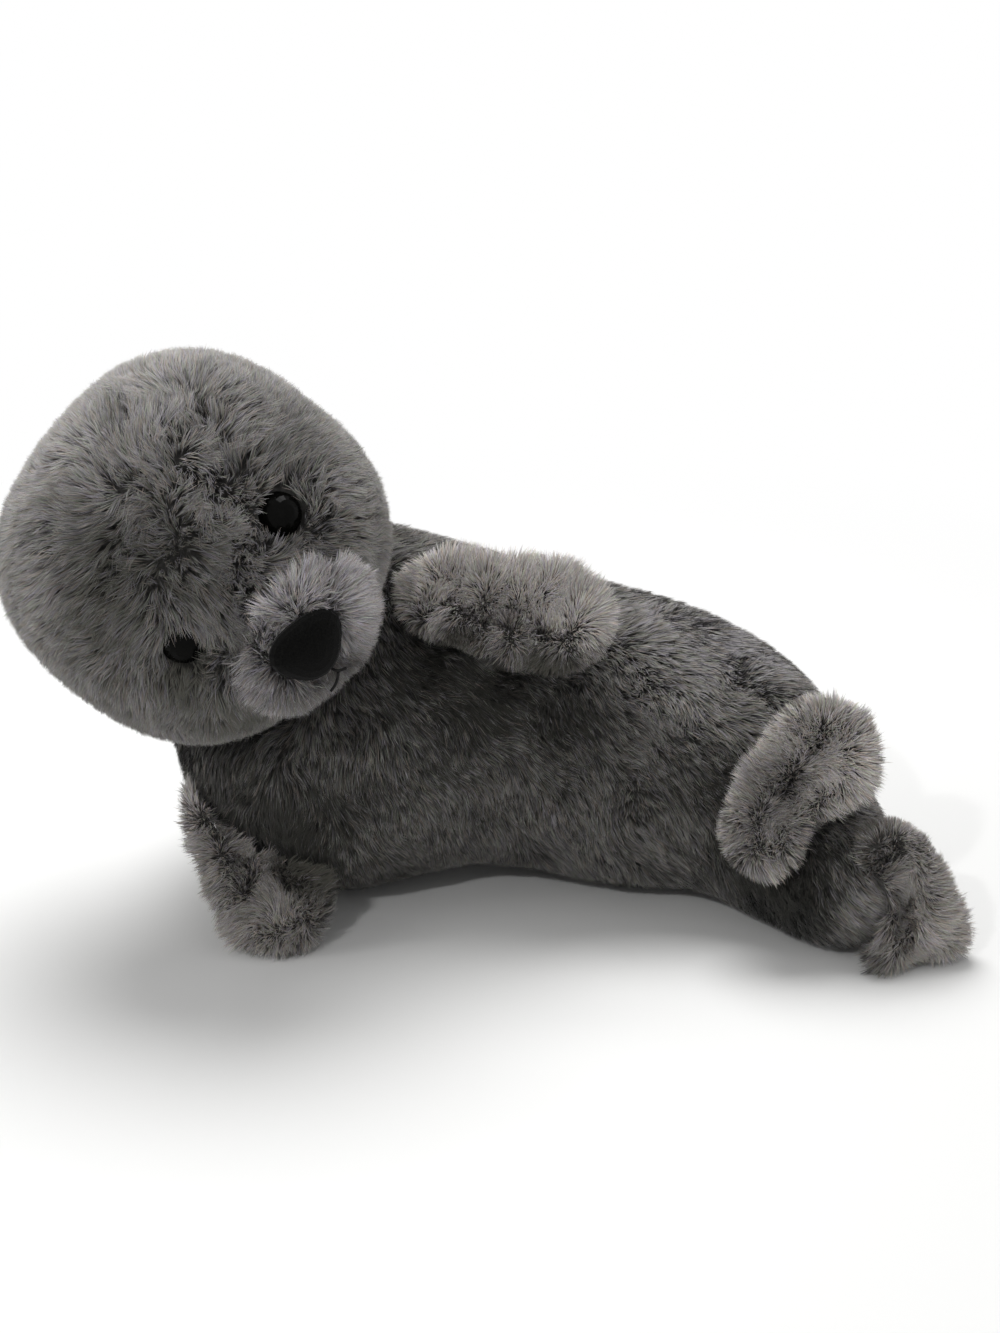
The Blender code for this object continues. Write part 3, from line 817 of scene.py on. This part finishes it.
def trimMuzzle(points):
    look = muzzleFur
    gap = np.linalg.norm(points - noseMiddle, axis=1)
    scale = np.clip((gap - look["shortTo"]) / look["shortOver"], look["shortest"], 1)
    for stitch in mouthLook["stitches"]:
        for x, y in stitch:
            scale *= 1 - look["mouthTrim"] * near(points, pixelOn("muzzle", x, y), look["mouthReach"])
    return scale


def toneMuzzle(points, out):
    look = muzzleFur
    tone = toneOf("muzzle", look, look["spots"], points)
    # painted light where the pile faces up, painted shade away from the tail
    return tone + look["up"] * out[:, 2] + look["tailwards"] * (points[:, 0] - noseMiddle[0])


bodyFur = {
    # the pile stands out round the right front flipper's seam, where the picture looks into the gap
    "seam": (200, 795),
    "seamReach": 13 * mm,
    "seamLonger": 0.5,
    "spineSlices": 9,
    "chest": -0.05,
    "hip": 0.05,
    "bellyEdge": 1.5,
    "bellyTurn": 0.8,  # how much less the belly side at the chest is combed tailwards
    "chestDown": 0.9,
    "hipLess": 0.45,
    "down": 0.12,
    "pull": 0.9,
    "seamUpright": 0.8,
    "tone": 0.30,
    # paler where the pile faces up: partly the darker pile of the belly, partly painted light from above;
    # paler towards the tail
    "up": 0.26,
    "tailwards": 1.8,
    "tailwardsFrom": -0.06,
    "tailwardsTo": 0.08,
    "patches": ((30 * mm, 7, 0.05),),
    # the spots are painted shade beneath the flippers and the head, along the bottom and in the cleft between
    # the rear flippers; the ones that raise the tone are painted light on the top of the back, and make the
    # tail's end paler
    "spots": (
        (480, 685, 16, -0.50), (560, 700, 14, -0.45), (415, 650, 12, -0.45), (300, 845, 16, -0.30),
        (765, 885, 20, -0.75), (826, 850, 9, -0.50), (680, 750, 24, -0.14), (735, 775, 9, -0.40),
        (700, 620, 24, 0.30), (872, 905, 12, 0.60), (740, 650, 14, 0.15), (270, 810, 14, -0.22),
        (345, 800, 12, -0.12), (780, 900, 12, -0.25), (580, 725, 14, -0.12), (725, 770, 8, -0.30)),
}


def spineOf(name, slices):
    # the middle line of a piece that is long in x, from slices across it, and the way it runs
    points = meshPoints(nodes[name].data)
    edges = np.linspace(points[:, 0].min(), points[:, 0].max(), slices + 1)
    middles = [points[(points[:, 0] >= low) & (points[:, 0] <= high)].mean(axis=0)
               for low, high in zip(edges, edges[1:])]
    return np.array(middles), unit(np.gradient(np.array(middles), axis=0))


spine, spineWay = spineOf("body", bodyFur["spineSlices"])
flipperSeam = pixelOn("body", *bodyFur["seam"])


def trimBody(points):
    return 1 + bodyFur["seamLonger"] * near(points, flipperSeam, bodyFur["seamReach"])


def combBody(points, out):
    # tailwards along the spine, and on the belly side also down, most at the chest
    look = bodyFur
    x = points[:, 0]
    way = unit(np.column_stack([np.interp(x, spine[:, 0], spineWay[:, axis]) for axis in range(3)]))
    along = np.clip((x - look["chest"]) / (look["hip"] - look["chest"]), 0, 1)
    front = np.clip(-out[:, 1] * look["bellyEdge"], 0, 1)
    lay = way * (1 - look["bellyTurn"] * front * (1 - along))[:, None]
    lay[:, 2] -= front * (look["chestDown"] - look["hipLess"] * along) + look["down"]
    pull = look["pull"] - look["seamUpright"] * near(points, flipperSeam, look["seamReach"])
    return unit(alongSkin(lay, out)) * pull[:, None]


def toneBody(points, out):
    look = bodyFur
    tailwards = np.clip(points[:, 0], look["tailwardsFrom"], look["tailwardsTo"])
    tone = toneOf("body", look, look["spots"], points)
    # painted light where the pile faces up
    return tone + look["up"] * np.clip(out[:, 2], 0, 1) + look["tailwards"] * tailwards


flipperFur = {
    "coreShare": 0.55,  # the part of a flipper's length that the pile leans away from
    "coreDeep": 4 * mm,
    "combedOver": 15 * mm,
    "tuftSize": 10 * mm,
    "tuftPull": 0.28,
    # where the pile at a rim is shorter
    "shortRims": {
        "left_front_flipper": ((450, 650), (500, 668), (550, 677), (598, 664)),
        "right_rear_flipper": ((922, 836), (938, 856)),
    },
    "shortReach": 8 * mm,
    "shortBy": 0.6,
    "shortest": 0.3,
    "tone": 0.50,
    # paler where the pile faces up and darker where it faces down: painted light and painted shade
    "up": 0.16,
    "patches": ((18 * mm, 8, 0.05),),
    # the spots are painted shade along the left front flipper's lower rim, on the rear flippers beside the
    # tail and on the right front flipper's corner
    "spots": {
        "left_front_flipper": (
            (450, 650, 8, -0.40), (500, 668, 9, -0.55), (550, 677, 10, -0.65), (598, 664, 8, -0.35),
            (460, 632, 11, -0.24), (500, 642, 11, -0.20), (545, 648, 10, -0.14), (405, 605, 8, -0.18)),
        "left_rear_flipper": ((770, 815, 18, -0.30), (745, 760, 9, -0.30), (780, 790, 10, -0.14)),
        "right_rear_flipper": ((855, 835, 13, -0.75), (872, 960, 9, -0.45), (893, 905, 6, -0.30)),
        "right_front_flipper": (
            (300, 864, 11, -0.60), (332, 890, 8, -0.45), (205, 850, 12, -0.20),
            (250, 835, 14, -0.20), (275, 885, 13, -0.14), (255, 905, 14, -0.12)),
    },
}


def combFlipper(node):
    # away from a core inside the flipper, which runs along it
    look = flipperFur
    corners = meshPoints(nodes[node].data)
    middle = corners.mean(axis=0)
    along, _, through = np.linalg.svd(corners - middle, full_matrices=False)[2]
    if through @ np.array((0, -1, 0.3)) < 0:
        through = -through
    halfCore = np.abs((corners - middle) @ along).max() * look["coreShare"]

    def comb(points, out):
        run = np.clip((points - middle) @ along, -halfCore, halfCore)[:, None]
        core = middle + along * run + through * look["coreDeep"]
        tufts = rippleVectors(points, look["tuftSize"], 41) * look["tuftPull"]
        return (points - core) / look["combedOver"] + tufts
    return comb


def trimFlipper(node):
    look = flipperFur
    spots = [pixelOn(node, x, y) for x, y in look["shortRims"].get(node, ())]

    def trim(points):
        scale = np.ones(len(points))
        for spot in spots:
            scale -= look["shortBy"] * near(points, spot, look["shortReach"])
        return np.clip(scale, look["shortest"], 1)
    return trim


def toneFlipper(node):
    look = flipperFur

    def tone(points, out):
        # painted light on top, painted shade beneath and at the spots
        return toneOf(node, look, look["spots"][node], points) + look["up"] * out[:, 2]
    return tone


# Swirl, stray and tuft turn the strands by place, singly and by clump. Together draws a clump's tips in,
# uneven varies its length, and roll turns a strand's flat. Over is how far the tips pass the node's form.
coats = {
    "head": {
        "seed": 11, "perSquareMm": 6.4, "length": 10.0 * mm, "width": 0.28 * mm, "lean": math.radians(58),
        "comb": combHead, "trim": trimHead, "tone": toneHead, "swirl": 0.34, "swirlSize": 20 * mm,
        "over": 0.6 * mm, "stray": 0.16, "tuft": 0.22, "perClump": 10, "together": 0.40, "uneven": 0.04,
        "roll": 0.4, "toneClump": 0.09, "toneStrand": 0.10, "material": headPlush, "slot": "head_plush",
        "soft": 0.5, "neighbours": ("body", "muzzle"), "panels": 3, "panelsAlong": (1, 0, 0)},
    "body": {
        "seed": 12, "perSquareMm": 5.0, "length": 7.6 * mm, "width": 0.30 * mm, "lean": math.radians(55),
        "comb": combBody, "trim": trimBody, "tone": toneBody, "swirl": 0.34, "swirlSize": 20 * mm,
        "over": 0.4 * mm, "stray": 0.18, "tuft": 0.15, "perClump": 9, "together": 0.30, "uneven": 0.05,
        "roll": 0.4, "toneClump": 0.13, "toneStrand": 0.14, "material": bodyPlush, "slot": "body_plush",
        "soft": 0.5, "neighbours": ("head", *flippers), "panels": 3, "panelsAlong": (1, -0.3, 0)},
    "muzzle": {
        "seed": 13, "perSquareMm": 14.0, "length": 9.0 * mm, "width": 0.24 * mm, "lean": math.radians(46),
        "comb": combMuzzle, "trim": trimMuzzle, "tone": toneMuzzle, "swirl": 0.42, "swirlSize": 9 * mm,
        "over": 1.8 * mm, "stray": 0.20, "tuft": 0.20, "perClump": 8, "together": 0.34, "uneven": 0.05,
        "roll": 0.4, "toneClump": 0.09, "toneStrand": 0.09, "material": muzzlePlush, "slot": "muzzle_plush",
        "soft": 0.5, "neighbours": ("head",), "panels": 1, "panelsAlong": (1, 0, 0)},
}
for number, node in enumerate(flippers):
    coats[node] = {
        "seed": 20 + number, "perSquareMm": 11.0, "length": 8.0 * mm, "width": 0.25 * mm,
        "lean": math.radians(54), "comb": combFlipper(node), "trim": trimFlipper(node),
        "tone": toneFlipper(node), "swirl": 0.20, "swirlSize": 14 * mm, "over": 0.9 * mm,
        "stray": 0.18, "tuft": 0.09, "perClump": 7, "together": 0.20, "uneven": 0.03, "roll": 0.4,
        "toneClump": 0.07, "toneStrand": 0.08, "material": flipperPlush, "slot": "flipper_plush", "soft": 0.5,
        "neighbours": ("body", "head"), "panels": 1, "panelsAlong": (1, 0, 0)}


placeCamera()
setStage()
skins = stuffSkins()
strands = sum(growPile(node, skin, coats[node]) for node, skin in skins.items())
skinTriangles = sum(len(skin.data.loop_triangles) for skin in skins.values())
print("triangles of pile and skins:", strands * len(strandFaces) + skinTriangles)


# Eyes, nose and lock washers

def polishedBlack():
    # moulded and polished black acrylic: a hard mirror gloss, faintly smudged
    material, tree, shader = startMaterial("polishedBlack")
    place = addNode(tree, "ShaderNodeTexCoord")
    smudge = addNode(tree, "ShaderNodeTexNoise", {
        "Vector": place.outputs["Object"], "Scale": 220.0, "Detail": 3.0})
    rough = addNode(tree, "ShaderNodeMapRange", {
        "Value": smudge.outputs["Fac"], "To Min": 0.02, "To Max": 0.06})
    tree.links.new(rough.outputs["Result"], shader.inputs["Roughness"])
    shader.inputs["Base Color"].default_value = hexColour("#080807")
    shader.inputs["IOR"].default_value = 1.49
    shader.inputs["Specular IOR Level"].default_value = 0.04
    return material


def blackFlock():
    # short nylon flock on a moulded nose: velvety black that takes almost no light
    material, tree, shader = startMaterial("blackFlock")
    place = addNode(tree, "ShaderNodeTexCoord")
    # flock fibres are about 0.05 mm, drawn at 0.4 mm to show at all
    fibre = addNode(tree, "ShaderNodeTexNoise", {
        "Vector": place.outputs["Object"], "Scale": 2500.0, "Detail": 2.0})
    colour = setRamp(addNode(tree, "ShaderNodeValToRGB", {"Fac": fibre.outputs["Fac"]}),
                     ((0.35, "#050505"), (0.7, "#121211")))
    bump = addNode(tree, "ShaderNodeBump", {
        "Height": fibre.outputs["Fac"], "Strength": 0.6, "Distance": 0.2 * mm})
    tree.links.new(colour.outputs["Color"], shader.inputs["Base Color"])
    tree.links.new(bump.outputs["Normal"], shader.inputs["Normal"])
    shader.inputs["Roughness"].default_value = 1.0
    shader.inputs["Specular IOR Level"].default_value = 0.05
    shader.inputs["Sheen Weight"].default_value = 0.05
    return material


def naturalNylon():
    # injection-moulded natural nylon of the lock washers: milky, waxy, hidden in the filling
    material, tree, shader = startMaterial("naturalNylon")
    place = addNode(tree, "ShaderNodeTexCoord")
    flow = addNode(tree, "ShaderNodeTexNoise", {"Vector": place.outputs["Object"], "Scale": 300.0})
    colour = setRamp(addNode(tree, "ShaderNodeValToRGB", {"Fac": flow.outputs["Fac"]}),
                     ((0.3, "#d8d5cb"), (0.7, "#e4e2da")))
    tree.links.new(colour.outputs["Color"], shader.inputs["Base Color"])
    shader.inputs["Roughness"].default_value = 0.45
    return material


def finishNode(name, material):
    nodes[name].data.materials.clear()
    nodes[name].data.materials.append(material)


def sewMouth():
    # a twisted black thread, stitched through the pile of the muzzle
    look = mouthLook
    curve = bpy.data.curves.new("mouth_thread", "CURVE")
    curve.dimensions = "3D"
    curve.bevel_depth = look["thick"] / 2
    curve.bevel_resolution = 2
    curve.use_fill_caps = True
    for stitch in look["stitches"]:
        line = curve.splines.new("NURBS")
        line.points.add(len(stitch) - 1)
        line.order_u = 3
        line.use_endpoint_u = True
        for point, (x, y) in zip(line.points, stitch):
            _, heading = pixelRay(x, y)
            spot = Vector(pixelOn("muzzle", x, y)) + heading * look["sink"]
            point.co = (*spot, 1)
    drawn = bpy.data.objects.new("mouth_line", curve)
    scene.collection.objects.link(drawn)
    graph = bpy.context.evaluated_depsgraph_get()
    mesh = bpy.data.meshes.new_from_object(drawn.evaluated_get(graph))
    bpy.data.objects.remove(drawn)
    thread = bpy.data.objects.new("mouth_thread", mesh)
    scene.collection.objects.link(thread)
    mesh.shade_smooth()
    mesh.materials.append(blackThread())
    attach(thread, "root")


def blackThread():
    # waxed black polyester thread, two plies twisted
    material, tree, shader = startMaterial("blackThread")
    place = addNode(tree, "ShaderNodeTexCoord")
    ply = addNode(tree, "ShaderNodeTexWave", {
        "Vector": place.outputs["Object"], "Scale": 700.0}, bands_direction="DIAGONAL")
    bump = addNode(tree, "ShaderNodeBump", {
        "Height": ply.outputs["Fac"], "Strength": 0.5, "Distance": 0.1 * mm})
    tree.links.new(bump.outputs["Normal"], shader.inputs["Normal"])
    shader.inputs["Base Color"].default_value = hexColour("#0e0d0d")
    shader.inputs["Roughness"].default_value = 0.6
    shader.inputs["Specular IOR Level"].default_value = 0.2
    return material


eyeGloss, noseFlock, washerNylon = polishedBlack(), blackFlock(), naturalNylon()
sewMouth()
for side in ("left", "right"):
    finishNode("eye_" + side, eyeGloss)
    finishNode("eye_washer_" + side, washerNylon)
finishNode("nose", noseFlock)
finishNode("nose_washer", washerNylon)
print("eyes and nose finished")
